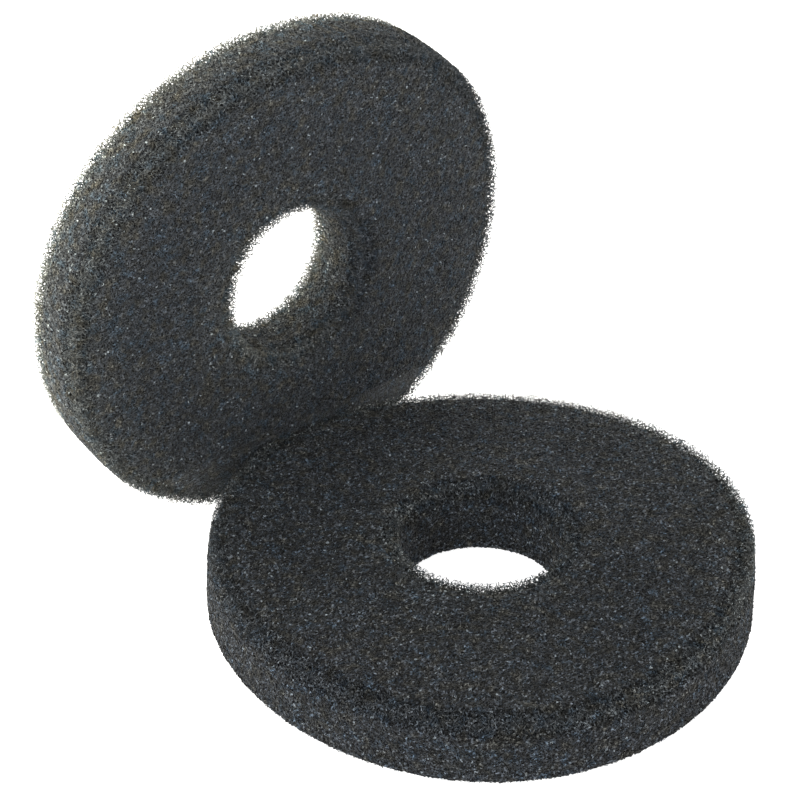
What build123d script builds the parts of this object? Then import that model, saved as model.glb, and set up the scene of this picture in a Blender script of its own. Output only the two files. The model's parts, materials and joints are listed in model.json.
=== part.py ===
from build123d import *
import os
from math import cos, radians, sin, tan

# A pair of round filter foams for a pond filter canister. Each is a flat disc of reticulated
# polyurethane foam with a centre hole that slides over the canister's riser tube. One pad lies flat.
# The other stands on its rim behind it and leans its face on the flat pad's top edge.
#
# The origin is at the centre of the flat pad's hole, in the plane it lies on, with +Z up.
# All sizes are in millimetres and all angles in degrees.

# One foam pad. Both pads are cut with the same tools.
outer_diameter = 220.0  # sets the fit in the canister
hole_diameter = 66.0  # sets the fit on the riser tube
pad_thickness = 30.0  # standard sheet of filter foam

# How the second pad stands against the first.
lean_angle = 8.0  # forward lean from upright
facing_angle = 40.0  # its face is turned this far from -Y towards +X
side_shift = -11.0  # its centre, along its own width, from the flat pad's centre
lean_gap = 0.3  # clearance between its face and the flat pad's top edge

outer_radius = outer_diameter / 2
hole_radius = hole_diameter / 2

# Level directions of the leaning pad: across its width, and the way it faces.
facing_level = Vector(sin(radians(facing_angle)), -cos(radians(facing_angle)), 0)
width_direction = Vector(cos(radians(facing_angle)), sin(radians(facing_angle)), 0)
face_normal = facing_level * cos(radians(lean_angle)) - Vector(0, 0, sin(radians(lean_angle)))

# It stands on the front edge of its rim. That edge is far enough behind the flat pad's centre
# for the face to clear the flat pad's top edge by the lean gap.
foot_distance = outer_radius + lean_gap / cos(radians(lean_angle)) + pad_thickness * tan(radians(lean_angle))
centre_distance = foot_distance - outer_radius * sin(radians(lean_angle))
centre_height = outer_radius * cos(radians(lean_angle))
face_centre = width_direction * side_shift - facing_level * centre_distance + Vector(0, 0, centre_height)
back_centre = face_centre - face_normal * pad_thickness

floor_plane = Plane.XY
leaning_plane = Plane(origin=back_centre, x_dir=width_direction, z_dir=face_normal)


def pad_outline():
    """Draws the pad's ring in the sketch that is open: the outer circle less the hole."""
    Circle(outer_radius)
    Circle(hole_radius, mode=Mode.SUBTRACT)


with BuildPart() as flat_foam_pad:
    with BuildSketch(floor_plane):
        pad_outline()
    extrude(amount=pad_thickness)

with BuildPart() as leaning_foam_pad:
    with BuildSketch(leaning_plane):
        pad_outline()
    extrude(amount=pad_thickness)

os.makedirs("parts", exist_ok=True)

flat_foam_pad.part.label = "flat_foam_pad"
export_step(flat_foam_pad.part, "parts/flat_foam_pad.step")

leaning_foam_pad.part.label = "leaning_foam_pad"
export_step(leaning_foam_pad.part, "parts/leaning_foam_pad.step")

print("leaning pad: face centre", face_centre, "back centre", back_centre, "face normal", face_normal)
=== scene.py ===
import json
import math

import bpy
import numpy as np
from mathutils import Matrix, Vector


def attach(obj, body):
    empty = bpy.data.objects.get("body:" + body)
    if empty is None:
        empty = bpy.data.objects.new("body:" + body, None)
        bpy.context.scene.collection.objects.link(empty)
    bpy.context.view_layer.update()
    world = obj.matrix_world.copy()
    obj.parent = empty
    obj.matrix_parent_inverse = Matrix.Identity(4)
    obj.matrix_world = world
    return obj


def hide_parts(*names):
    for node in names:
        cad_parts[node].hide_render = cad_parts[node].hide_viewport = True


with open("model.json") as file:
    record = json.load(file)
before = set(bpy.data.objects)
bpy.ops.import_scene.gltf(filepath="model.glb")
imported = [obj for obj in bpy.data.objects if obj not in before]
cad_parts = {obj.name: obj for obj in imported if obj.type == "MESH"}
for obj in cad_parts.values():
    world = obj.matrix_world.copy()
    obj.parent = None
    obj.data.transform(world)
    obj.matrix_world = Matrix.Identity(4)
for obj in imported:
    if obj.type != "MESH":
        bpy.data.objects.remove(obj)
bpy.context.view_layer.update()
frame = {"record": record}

# Two round filter foams. Each pad is one soft solid of open-cell foam, with a fringe of cut cells along
# its four edges, where light comes through. A pad starts as a perfect flat ring about its own centre in
# millimetres, with its back or lower face at height 0. Then it gets its soft shape and its place in metres.

mm = 0.001
mounts = {mount["name"]: mount for mount in frame["record"]["mounts"]}
outerRadius = mounts["leaning_pad_rim"]["dims"]["r_mm"]
holeRadius = mounts["flat_pad_hole"]["dims"]["r_mm"]
thickness = mounts["flat_pad_hole"]["dims"]["length_mm"]

# A soft cut disc is never quite round or flat. A lobe is (waves round the ring, mm, degrees of its top).
# Each edge says how many mm the solid foam is cut back there, how wide the fringe's struts are, and how
# much painted light makes the foam lighter and warmer near it: (all round, extra on one side, degrees of
# that side).
flatPad = {
    "name": "flat_pad",
    "node": "flat_foam_pad",
    "body": "flat_pad",
    "seed": 11,
    "topRadius": 112.0, "topLobes": ((1, 3.1, 61), (2, 0.4, 148), (3, 1.5, 108), (4, 0.8, 57)),
    "bottomRadius": 112.2, "bottomLobes": ((1, 1.0, -90), (2, 1.5, -30), (3, 1.7, 99)),
    "rimHeight": 29.1, "rimLobes": ((1, 1.7, 135), (2, 2.0, 4), (3, 0.5, 84)),
    "bottomHeight": 0.0,
    "holeHeight": 30.6, "holeHeightLobes": ((1, 0.9, 105),),
    "holeTopRadius": 33.2, "holeBottomRadius": 31.3, "holeLobes": ((2, 1.3, 0),),
    "holeTopShift": (1.2, 0.0), "holeBottomShift": (0.1, -0.1),
    "shade": 1.05, "spread": 2.3,
    "edges": {
        "rim_top": {"cut": 8.2, "strut": 0.27, "soak": (0.7, 0.8, 60)},
        "rim_bottom": {"cut": 1.4, "strut": 0.24, "soak": (0.0, 0.0, 0)},
        "hole_top": {"cut": 7.8, "strut": 0.29, "soak": (0.5, 0.5, -125)},
        "hole_bottom": {"cut": 1.2, "strut": 0.23, "soak": (0.0, 0.0, 0)},
    },
}
leaningPad = {
    "name": "leaning_pad",
    "node": "leaning_foam_pad",
    "body": "leaning_pad",
    "seed": 23,
    "topRadius": 112.1, "topLobes": ((1, 0.5, -55), (2, 2.4, -52), (3, 0.4, 108), (4, 0.7, 173)),
    "bottomRadius": 110.8, "bottomLobes": ((1, 0.7, 119), (2, 1.3, -53), (3, 1.5, 145), (4, 0.9, 152)),
    "rimHeight": 30.3, "rimLobes": ((1, 0.8, -154), (2, 1.4, -166), (3, 0.7, -116)),
    "bottomHeight": -0.3,
    "holeHeight": 28.6, "holeHeightLobes": ((1, 1.9, -32), (2, 0.7, -16)),
    "holeTopRadius": 33.2, "holeBottomRadius": 31.9, "holeLobes": ((2, 1.2, 180),),
    "holeTopShift": (-0.7, 0.4), "holeBottomShift": (-3.0, -0.7),
    # painted light: this pad's foam colours are scaled about 1.5 times the flat pad's, though both pads are
    # the same foam
    "shade": 1.55, "spread": 1.35,
    "edges": {
        "rim_top": {"cut": 8.2, "strut": 0.27, "soak": (0.7, 0.5, -115)},
        "rim_bottom": {"cut": 8.2, "strut": 0.31, "soak": (3.3, 1.6, 150)},
        "hole_top": {"cut": 8.2, "strut": 0.27, "soak": (0.6, 1.0, 180)},
        "hole_bottom": {"cut": 8.4, "strut": 0.26, "soak": (3.0, 2.0, 0)},
    },
}
foam = {
    "voxel": 0.65,            # mm between points of the solid foam's surface
    "poreSize": 1.1,          # mm across the pits in it
    "poreDepth": 0.6,
    "roughness": 0.22,        # mm that its points stray
    "lumpSize": 9.0,          # mm across the faint lumps in it
    "lumpDepth": 0.5,
    "soakReach": 9.0,         # mm over which the painted edge light fades in from a cut edge
    "cellSize": 2.3,          # mm pitch of the fringe's cells
    "strutGain": 0.7,         # how much thicker struts get toward the solid foam
    "strutScatter": 0.45,     # how far a cell's corners stray, in parts of a strut's length
    "cellSway": 0.7,          # mm that whole rows of cells wander
    "swayWaves": (61, 89, 131, 173),    # times round the ring that they do
    "missingStruts": 0.1,     # share of struts left out at the solid foam
    "openStruts": 0.12,       # and how much more is left out at the very edge
    "shortStrut": 0.08,       # mm, and a stub shorter than this is left out
    "pressGap": 0.35,         # mm kept between the pads where one leans on the other
    "pressHeight": 36.0,      # mm above the floor that they may touch
}


def deselectAll():
    if bpy.context.object and bpy.context.object.mode != "OBJECT":
        bpy.ops.object.mode_set(mode="OBJECT")
    bpy.ops.object.select_all(action="DESELECT")


def makeActive(piece):
    deselectAll()
    piece.select_set(True)
    bpy.context.view_layer.objects.active = piece


def applyModifier(piece, kind, **settings):
    makeActive(piece)
    modifier = piece.modifiers.new(kind.title(), kind)
    for key, value in settings.items():
        setattr(modifier, key, value)
    bpy.ops.object.modifier_apply(modifier=modifier.name)


def readPoints(piece):
    points = np.empty(len(piece.data.vertices) * 3)
    piece.data.vertices.foreach_get("co", points)
    return points.reshape(-1, 3)


def writePoints(piece, points):
    piece.data.vertices.foreach_set("co", np.ascontiguousarray(points).ravel())
    piece.data.update()


# The leaning pad's own frame: its face looks along local +Z, and local +X is level.
faceNormal = -Vector(mounts["leaning_pad_hole"]["axis"])
levelAcross = Vector((0, 0, 1)).cross(faceNormal).normalized()
leaningFrame = Matrix((levelAcross, faceNormal.cross(levelAcross), faceNormal)).transposed().to_4x4()
leaningFrame.translation = Vector(mounts["leaning_pad_hole"]["pos_m"])
flatPad["place"] = Matrix.Identity(4)
leaningPad["place"] = leaningFrame
frontFacePoint = leaningFrame @ Vector((0, 0, thickness * mm))


def lobed(lobes, angle):
    total = np.zeros_like(angle)
    for waves, size, top in lobes:
        total += size * np.cos(waves * angle - math.radians(top))
    return total


def softShape(points, pad):
    # moves a perfect ring's points to the soft pad's shape, in mm
    radius = np.hypot(points[:, 0], points[:, 1])
    angle = np.arctan2(points[:, 1], points[:, 0])
    outward = (radius - holeRadius) / (outerRadius - holeRadius)
    upward = points[:, 2] / thickness
    rim = ((pad["bottomRadius"] + lobed(pad["bottomLobes"], angle)) * (1 - upward)
           + (pad["topRadius"] + lobed(pad["topLobes"], angle)) * upward)
    hole = (pad["holeBottomRadius"] * (1 - upward) + pad["holeTopRadius"] * upward
            + lobed(pad["holeLobes"], angle))
    radius = hole + (rim - hole) * outward
    rimTop = pad["rimHeight"] + lobed(pad["rimLobes"], angle)
    holeTop = pad["holeHeight"] + lobed(pad["holeHeightLobes"], angle)
    spread = np.clip(outward, 0, 1) ** 1.6
    top = holeTop * (1 - spread) + rimTop * spread
    nearHole = 1 - np.clip(outward, 0, 1)
    shift = [nearHole * (low * (1 - upward) + high * upward)
             for low, high in zip(pad["holeBottomShift"], pad["holeTopShift"])]
    return np.stack([radius * np.cos(angle) + shift[0],
                     radius * np.sin(angle) + shift[1],
                     pad["bottomHeight"] + (top - pad["bottomHeight"]) * upward], 1)


def setDown(points, pad):
    # from the pad's own mm to the row's metres, pressed flat on the floor and where the pads touch
    place = np.array(pad["place"])
    points = points * mm @ place[:3, :3].T + place[:3, 3]
    points[:, 2] = np.maximum(points[:, 2], 0)
    past = (points - np.array(frontFacePoint)) @ np.array(faceNormal)
    gap = foam["pressGap"] * mm
    if pad is flatPad:
        push = np.maximum(gap - past, 0)
    else:
        push = np.where(points[:, 2] < foam["pressHeight"] * mm, np.minimum(-past, 0), 0)
    return points + push[:, None] * np.array(faceNormal)


def ringBlank(pad):
    # a disc with its hole bridged through and its four edges rounded
    deselectAll()
    bpy.ops.mesh.primitive_cylinder_add(vertices=240, radius=outerRadius, depth=thickness,
                                        location=(0, 0, thickness / 2))
    blank = bpy.context.object
    blank.name = blank.data.name = pad["name"] + "_foam"
    bpy.ops.object.transform_apply(location=True, rotation=True, scale=True)
    bpy.ops.object.mode_set(mode="EDIT")
    bpy.ops.mesh.select_mode(type="FACE")
    bpy.ops.mesh.select_all(action="DESELECT")
    bpy.ops.object.mode_set(mode="OBJECT")
    for face in blank.data.polygons:
        face.select = abs(face.normal.z) > 0.9
    bpy.ops.object.mode_set(mode="EDIT")
    bpy.ops.mesh.inset(thickness=outerRadius - holeRadius)
    bpy.ops.mesh.bridge_edge_loops()
    bpy.ops.object.mode_set(mode="OBJECT")
    # each of the four edges has its own cut
    widest = max(edge["cut"] for edge in pad["edges"].values())
    weights = blank.data.attributes.new("bevel_weight_edge", "FLOAT", "EDGE")
    for edge in blank.data.edges:
        ends = [blank.data.vertices[i].co for i in edge.vertices]
        if abs(ends[0].z - ends[1].z) < 0.01 and abs(ends[0].xy.length - ends[1].xy.length) < 1:
            where = "hole" if ends[0].xy.length < (holeRadius + outerRadius) / 2 else "rim"
            side = "_top" if ends[0].z > thickness / 2 else "_bottom"
            weights.data[edge.index].value = pad["edges"][where + side]["cut"] / widest
    applyModifier(blank, "BEVEL", width=widest, segments=4, profile=0.26, limit_method="WEIGHT")
    return blank


def roughen(piece, kind, strength, size, **settings):
    # pits and lumps from one of Blender's own noise patterns, in the piece's own mm
    pattern = bpy.data.textures.new(piece.name + kind, kind)
    pattern.noise_scale = size
    for key, value in settings.items():
        setattr(pattern, key, value)
    applyModifier(piece, "DISPLACE", texture=pattern, strength=strength, mid_level=0.5,
                  texture_coords="LOCAL")


def notePaintedEdgeLight(piece, points, pad):
    # tells the finish how much painted light to put on the foam near its cut edges, for points of the
    # perfect ring
    angle = np.arctan2(points[:, 1], points[:, 0])
    radius = np.hypot(points[:, 0], points[:, 1])
    paintedLightAmount = np.zeros(len(points))
    for name, edge in pad["edges"].items():
        away = np.hypot(radius - (holeRadius if name.startswith("hole") else outerRadius),
                        points[:, 2] - (thickness if name.endswith("top") else 0))
        allRound, extra, side = edge["soak"]
        paintedLightAmount += (allRound + extra * np.cos(angle - math.radians(side))) * np.exp(-away / foam["soakReach"])
    note = piece.data.attributes.new("paintedEdgeLight", "FLOAT", "POINT")
    note.data.foreach_set("value", np.ascontiguousarray(paintedLightAmount, dtype=np.float32))


def solidFoam(pad):
    piece = ringBlank(pad)
    applyModifier(piece, "REMESH", mode="VOXEL", voxel_size=foam["voxel"] * 1)
    points = readPoints(piece)
    notePaintedEdgeLight(piece, points, pad)
    writePoints(piece, softShape(points, pad))
    roughen(piece, "CLOUDS", foam["lumpDepth"], foam["lumpSize"])
    roughen(piece, "VORONOI", -foam["poreDepth"], foam["poreSize"], weight_1=-1.0, weight_2=1.0)
    random = np.random.default_rng(pad["seed"] + 5)
    points = readPoints(piece)
    points += random.normal(0, foam["roughness"], points.shape)
    writePoints(piece, setDown(points, pad))
    return piece


def cellNet(size):
    # the corners and struts of packed 14-sided cells in one cube of this size, which repeats, counted
    # in quarters of the cube: a corner is 1 or 3 along one way and 2 along another
    corners = []
    for one, two in ((1, 2), (2, 0), (0, 1), (2, 1), (0, 2), (1, 0)):
        for step in (1, 3):
            corner = [0, 0, 0]
            corner[one] = step
            corner[two] = 2
            corners.append(corner)
    struts = []
    for first, start in enumerate(corners):
        for second, end in enumerate(corners):
            for x in (-4, 0, 4):
                for y in (-4, 0, 4):
                    for z in (-4, 0, 4):
                        far = (end[0] + x, end[1] + y, end[2] + z)
                        squared = sum((a - b) ** 2 for a, b in zip(start, far))
                        cube = (x // 4, y // 4, z // 4)
                        # neighbours lie a quarter square's diagonal apart, and each pair counts once
                        if squared == 2 and (second, cube) > (first, (0, 0, 0)):
                            struts.append((first, second, cube))
    return np.array(corners) * size / 4, struts


def edgeFringe(pad, edge, name):
    size = foam["cellSize"]
    cut = pad["edges"][edge]["cut"]
    atHole, atTop = edge.startswith("hole"), edge.endswith("top")
    edgeRadius = holeRadius if atHole else outerRadius
    inward = 1 if atHole else -1
    # whole cubes, counted round the ring at the fringe's middle and down to past the solid foam
    cubesRound = round(2 * math.pi * (edgeRadius + inward * 2.5) / size)
    deep = math.ceil((cut + 0.5) / size) + 1
    corners, struts = cellNet(size)
    random = np.random.default_rng(pad["seed"] + 2 * atHole + atTop)

    # corner places as (along, depth under the flat face, depth behind the wall)
    along, under, behind = np.meshgrid(np.arange(cubesRound), np.arange(deep), np.arange(deep),
                                       indexing="ij")
    cubes = np.stack([along.ravel(), under.ravel(), behind.ravel()], 1)
    places = (cubes[:, None, :] * size + corners[None]).reshape(-1, 3) - [0, size * 0.6, size * 0.6]
    strutLength = size * math.sqrt(2) / 4
    stray = foam["strutScatter"] * strutLength
    places = places + random.normal(0, stray, places.shape)
    lap = cubesRound * size
    turn = places[:, 0] / lap * 2 * math.pi
    for column in (1, 2):
        for waves in foam["swayWaves"]:
            places[:, column] += foam["cellSway"] / 2 * np.cos(
                waves * turn + random.uniform(0, 2 * math.pi) + places[:, 3 - column] / size)
    perCube = len(corners)
    number = np.arange(len(cubes)).reshape(cubesRound, deep, deep)
    ends = []
    for first, second, step in struts:
        other = cubes + step
        fits = (other[:, 1] >= 0) & (other[:, 1] < deep) & (other[:, 2] >= 0) & (other[:, 2] < deep)
        other = other[fits]
        neighbour = number[other[:, 0] % cubesRound, other[:, 1], other[:, 2]]
        ends.append(np.stack([number.ravel()[fits] * perCube + first, neighbour * perCube + second], 1))
    ends = np.concatenate(ends)
    middle = np.clip(places[ends].mean(1)[:, 1:].sum(1) / cut, 0, 1)
    missing = foam["missingStruts"] + foam["openStruts"] * (1 - middle)
    ends = ends[random.random(len(ends)) > missing]
    start, end = places[ends[:, 0]].copy(), places[ends[:, 1]].copy()
    end[:, 0] += lap * np.round((start[:, 0] - end[:, 0]) / lap)

    # cut flush with the flat face and the wall
    for axis in (1, 2):
        for here, there in ((start, end), (end, start)):
            out = (here[:, axis] < 0) & (there[:, axis] > 0)
            share = (there[out, axis] / (there[out, axis] - here[out, axis]))[:, None]
            here[out] = there[out] + (here[out] - there[out]) * share
    inside = (start[:, 1:] >= -1e-6).all(1) & (end[:, 1:] >= -1e-6).all(1)
    depth = ((start + end) / 2)[:, 1:].sum(1) / cut       # 0 at the sharp edge, 1 at the solid foam
    keep = inside & (depth < 1.02) & (np.linalg.norm(end - start, axis=1) > foam["shortStrut"])
    start, end, depth = start[keep], end[keep], depth[keep]

    def toRing(place):
        angle = place[:, 0] / lap * 2 * math.pi
        radius = edgeRadius + inward * place[:, 2]
        height = thickness - place[:, 1] if atTop else place[:, 1]
        return np.stack([radius * np.cos(angle), radius * np.sin(angle), height], 1)

    # each strut is a slim wedge-ended bar of four faces
    ringStart, ringEnd = toRing(start), toRing(end)
    start, end = softShape(ringStart, pad), softShape(ringEnd, pad)
    run = end - start
    run /= np.linalg.norm(run, axis=1)[:, None]
    side = np.cross(run, random.normal(0, 1, run.shape))
    side /= np.linalg.norm(side, axis=1)[:, None]
    width = pad["edges"][edge]["strut"] * (1 + foam["strutGain"] * depth ** 2) / 2
    width = (width * random.uniform(0.7, 1.3, len(run)))[:, None]
    points = np.stack([start - side * width, start + side * width,
                       end - np.cross(run, side) * width, end + np.cross(run, side) * width], 1)
    points = setDown(points.reshape(-1, 3), pad)
    faces = (np.arange(len(run)) * 4)[:, None, None] + [[0, 2, 1], [0, 1, 3], [0, 3, 2], [1, 2, 3]]
    mesh = bpy.data.meshes.new(name)
    mesh.from_pydata(points, [], faces.reshape(-1, 3))
    mesh.update()
    fringe = bpy.data.objects.new(name, mesh)
    bpy.context.collection.objects.link(fringe)
    notePaintedEdgeLight(fringe, np.repeat((ringStart + ringEnd) / 2, 4, axis=0), pad)
    return fringe


def linearColour(hexCode, shade=1.0):
    parts = [int(hexCode[i:i + 2], 16) / 255 for i in (1, 3, 5)]
    parts = [part / 12.92 if part <= 0.04045 else ((part + 0.055) / 1.055) ** 2.4 for part in parts]
    return [part * shade for part in parts] + [1]


def addNode(tree, kind, settings=None, links=None):
    # settings are the node's own choices by name, or socket values by socket name or number
    node = tree.nodes.new(kind)
    for key, value in (settings or {}).items():
        if isinstance(key, str) and hasattr(node, key):
            setattr(node, key, value)
        else:
            node.inputs[key].default_value = value
    for key, source in (links or {}).items():
        tree.links.new(source, node.inputs[key])
    return node


def newFinish(name):
    finish = bpy.data.materials.new(name)
    finish.use_nodes = True
    finish.node_tree.nodes.clear()
    return finish, finish.node_tree


foamColours = {
    "pore": "#070809",
    "strut": "#26292d",
    "cool": "#232b33",
    "olive": "#2a2a28",
    # painted light: the fringe's struts are coloured lighter than the solid foam's, so the cut edges look
    # lit
    "fringe": "#303336",
    # near-white colour of the painted highlights on a few struts
    "glint": "#8a939a",
    "soakGain": (2.12, 2.0, 1.72, 1),    # painted edge light: how many times lighter, in red, green and blue, at a painted amount of 1
}
foamGrain = {
    "cell": 1.0,              # mm across the cells that the cut shows
    "catch": 0.8,             # mm across the parts that catch the light alike
    "tint": 5.0,              # mm across the faint patches of tint
    "glint": 0.8,             # mm across the few struts given a painted highlight
}


def polyurethaneFoam(name, solid, shade, spread):
    # carbon-black open-cell polyurethane: matt and nearly black, with thin struts that catch the light; its
    # colour also holds painted highlights, painted shadow in the pores and painted light at the cut edges
    finish, tree = newFinish(name)
    place = addNode(tree, "ShaderNodeTexCoord").outputs["Object"]
    # most parts are dark, and the more the spread, the fewer are much lighter
    cells = addNode(tree, "ShaderNodeTexVoronoi", {"Scale": 1 / (foamGrain["catch"] * mm)},
                    {"Vector": place})
    lots = addNode(tree, "ShaderNodeSeparateColor", None, {"Color": cells.outputs["Color"]})
    lot = addNode(tree, "ShaderNodeMath", {"operation": "ADD"},
                  {0: lots.outputs["Red"], 1: lots.outputs["Green"]})
    catch = addNode(tree, "ShaderNodeMath", {"operation": "POWER", 0: math.exp(spread)},
                    {1: lot.outputs[0]})
    level = addNode(tree, "ShaderNodeMath", {"operation": "MULTIPLY", 1: math.exp(-spread)},
                    {0: catch.outputs[0]})
    # faint patches of tint
    patches = addNode(tree, "ShaderNodeTexNoise", {"Scale": 1 / (foamGrain["tint"] * mm), "Detail": 1.0},
                      {"Vector": place})
    patchParts = addNode(tree, "ShaderNodeSeparateColor", None, {"Color": patches.outputs["Color"]})
    coolPart = addNode(tree, "ShaderNodeMapRange", {"From Min": 0.5, "From Max": 0.7},
                       {"Value": patchParts.outputs["Red"]})
    olivePart = addNode(tree, "ShaderNodeMapRange", {"From Min": 0.5, "From Max": 0.7},
                        {"Value": patchParts.outputs["Green"]})
    strut = foamColours["strut" if solid else "fringe"]
    cool = addNode(tree, "ShaderNodeMix", {"data_type": "RGBA", 6: linearColour(strut, shade),
                                           7: linearColour(foamColours["cool"], shade)},
                   {0: coolPart.outputs["Result"]})
    olive = addNode(tree, "ShaderNodeMix", {"data_type": "RGBA",
                                            7: linearColour(foamColours["olive"], shade)},
                    {0: olivePart.outputs["Result"], 6: cool.outputs[2]})
    lit = addNode(tree, "ShaderNodeMix", {"data_type": "RGBA", "blend_type": "MULTIPLY", 0: 1.0},
                  {6: olive.outputs[2], 7: level.outputs[0]})
    # painted highlights: a few struts are coloured near-white as if they shine
    paintedGlintCells = addNode(tree, "ShaderNodeTexVoronoi", {"Scale": 1 / (foamGrain["glint"] * mm)},
                     {"Vector": place})
    paintedGlintParts = addNode(tree, "ShaderNodeSeparateColor", None, {"Color": paintedGlintCells.outputs["Color"]})
    paintedGlintMask = addNode(tree, "ShaderNodeMapRange", {"From Min": 0.992, "From Max": 0.996},
                    {"Value": paintedGlintParts.outputs["Red"]})
    colour = addNode(tree, "ShaderNodeMix", {"data_type": "RGBA", 7: linearColour(foamColours["glint"])},
                     {0: paintedGlintMask.outputs["Result"], 6: lit.outputs[2]})
    # painted light: near its cut edges the foam is coloured lighter and warmer, more on one side of some
    # edges
    edge = addNode(tree, "ShaderNodeAttribute", {"attribute_name": "paintedEdgeLight"})
    soak = addNode(tree, "ShaderNodeMix", {"data_type": "RGBA", "clamp_factor": False, 6: (1, 1, 1, 1),
                                           7: foamColours["soakGain"]}, {0: edge.outputs["Fac"]})
    colour = addNode(tree, "ShaderNodeMix", {"data_type": "RGBA", "blend_type": "MULTIPLY", 0: 1.0},
                     {6: colour.outputs[2], 7: soak.outputs[2]})
    shader = addNode(tree, "ShaderNodeBsdfPrincipled", {
        "Roughness": 0.6, "Specular IOR Level": 0.12,
        "Sheen Weight": 0.1, "Sheen Roughness": 0.4, "Sheen Tint": linearColour("#c9c6b8")})
    addNode(tree, "ShaderNodeOutputMaterial", None, {"Surface": shader.outputs["BSDF"]})
    if solid:
        # painted shadow: the cells' pores are coloured near black for the shadow in their hollows, and the
        # struts round them keep the foam's colour
        walls = addNode(tree, "ShaderNodeTexVoronoi", {"feature": "DISTANCE_TO_EDGE",
                                                       "Scale": 1 / (foamGrain["cell"] * mm)},
                        {"Vector": place})
        net = addNode(tree, "ShaderNodeMapRange", {"From Min": 0.04, "From Max": 0.3,
                                                   "To Min": 1.0, "To Max": 0.0},
                      {"Value": walls.outputs["Distance"]})
        colour = addNode(tree, "ShaderNodeMix", {"data_type": "RGBA", 6: linearColour(foamColours["pore"])},
                         {0: net.outputs["Result"], 7: colour.outputs[2]})
        bump = addNode(tree, "ShaderNodeBump", {"Distance": 0.4 * mm, "Strength": 0.8},
                       {"Height": net.outputs["Result"]})
        tree.links.new(bump.outputs["Normal"], shader.inputs["Normal"])
    tree.links.new(colour.outputs[2], shader.inputs["Base Color"])
    return finish


studio = {
    "cameraPlace": (-0.0322, -0.6133, 0.4846),
    "lookDown": 32.39,        # degrees below level, along +Y
    "roll": -0.61,
    "lens": 83.4,
    "floorSize": 8.0,
    "floorColour": "#f4f4f4",
    "floorGlow": 0.8,         # the sheet is lit from below as well, so that it stays white
    "sideLight": 1.9,         # a white tent, brighter at its sides than overhead
    "topLight": 0.7,
    "lamps": (
        {"name": "key_light", "place": (-1.3, 0.55, 0.9), "size": 0.7,
         "power": 24.0, "colour": (1.0, 0.94, 0.8)},
        {"name": "fill_light", "place": (-1.1, -0.8, 0.8), "size": 0.8,
         "power": 12.0, "colour": (0.94, 0.98, 1.0)},
    ),
}


def makeStudio():
    deselectAll()
    camera = bpy.data.objects.new("camera", bpy.data.cameras.new("camera"))
    bpy.context.collection.objects.link(camera)
    camera.data.lens = studio["lens"]
    camera.data.sensor_width = 36
    camera.data.clip_start, camera.data.clip_end = 0.01, 100
    camera.matrix_world = (Matrix.Translation(studio["cameraPlace"])
                           @ Matrix.Rotation(math.radians(90 - studio["lookDown"]), 4, "X")
                           @ Matrix.Rotation(math.radians(studio["roll"]), 4, "Z"))
    bpy.context.scene.camera = camera
    bpy.ops.mesh.primitive_plane_add(size=studio["floorSize"], location=(0, 0, 0))
    floor = bpy.context.object
    floor.name = "floor"
    # matt white paper that shows no grain or shine, only a faint shadow
    finish, tree = newFinish("white paper sweep")
    shader = addNode(tree, "ShaderNodeBsdfPrincipled", {
        "Base Color": linearColour(studio["floorColour"]), "Roughness": 0.9, "Specular IOR Level": 0.0,
        "Emission Color": (1, 1, 1, 1), "Emission Strength": studio["floorGlow"]})
    addNode(tree, "ShaderNodeOutputMaterial", None, {"Surface": shader.outputs["BSDF"]})
    floor.data.materials.append(finish)
    world = bpy.data.worlds.new("white studio")
    world.use_nodes = True
    tree = world.node_tree
    direction = addNode(tree, "ShaderNodeTexCoord")
    height = addNode(tree, "ShaderNodeSeparateXYZ", None, {0: direction.outputs["Generated"]})
    level = addNode(tree, "ShaderNodeMapRange",
                    {"To Min": studio["sideLight"], "To Max": studio["topLight"]},
                    {"Value": height.outputs["Z"]})
    backdrop = tree.nodes["Background"]
    backdrop.inputs["Color"].default_value = (1, 1, 1, 1)
    tree.links.new(level.outputs["Result"], backdrop.inputs["Strength"])
    bpy.context.scene.world = world
    for lamp in studio["lamps"]:
        bpy.ops.object.light_add(type="AREA", location=lamp["place"])
        light = bpy.context.object
        light.name = lamp["name"]
        light.data.size = lamp["size"]
        light.data.energy = lamp["power"]
        light.data.color = lamp["colour"]
        light.rotation_euler = (-Vector(lamp["place"])).to_track_quat("-Z", "Y").to_euler()
    bpy.context.scene.view_settings.view_transform = "Standard"


makeStudio()
print("studio done")

for pad in (flatPad, leaningPad):
    padFinish = polyurethaneFoam("cut polyurethane foam " + pad["name"], True, pad["shade"], pad["spread"])
    fringeFinish = polyurethaneFoam("foam cell struts " + pad["name"], False, pad["shade"], pad["spread"])
    solid = solidFoam(pad)
    solid.data.materials.append(padFinish)
    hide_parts(pad["node"])
    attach(solid, pad["body"])
    print(pad["name"], "foam:", len(solid.data.polygons), "faces")
    for edge in pad["edges"]:
        fringe = edgeFringe(pad, edge, pad["name"] + "_" + edge + "_cells")
        fringe.data.materials.append(fringeFinish)
        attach(fringe, pad["body"])
        print(fringe.name, "faces:", len(fringe.data.polygons))
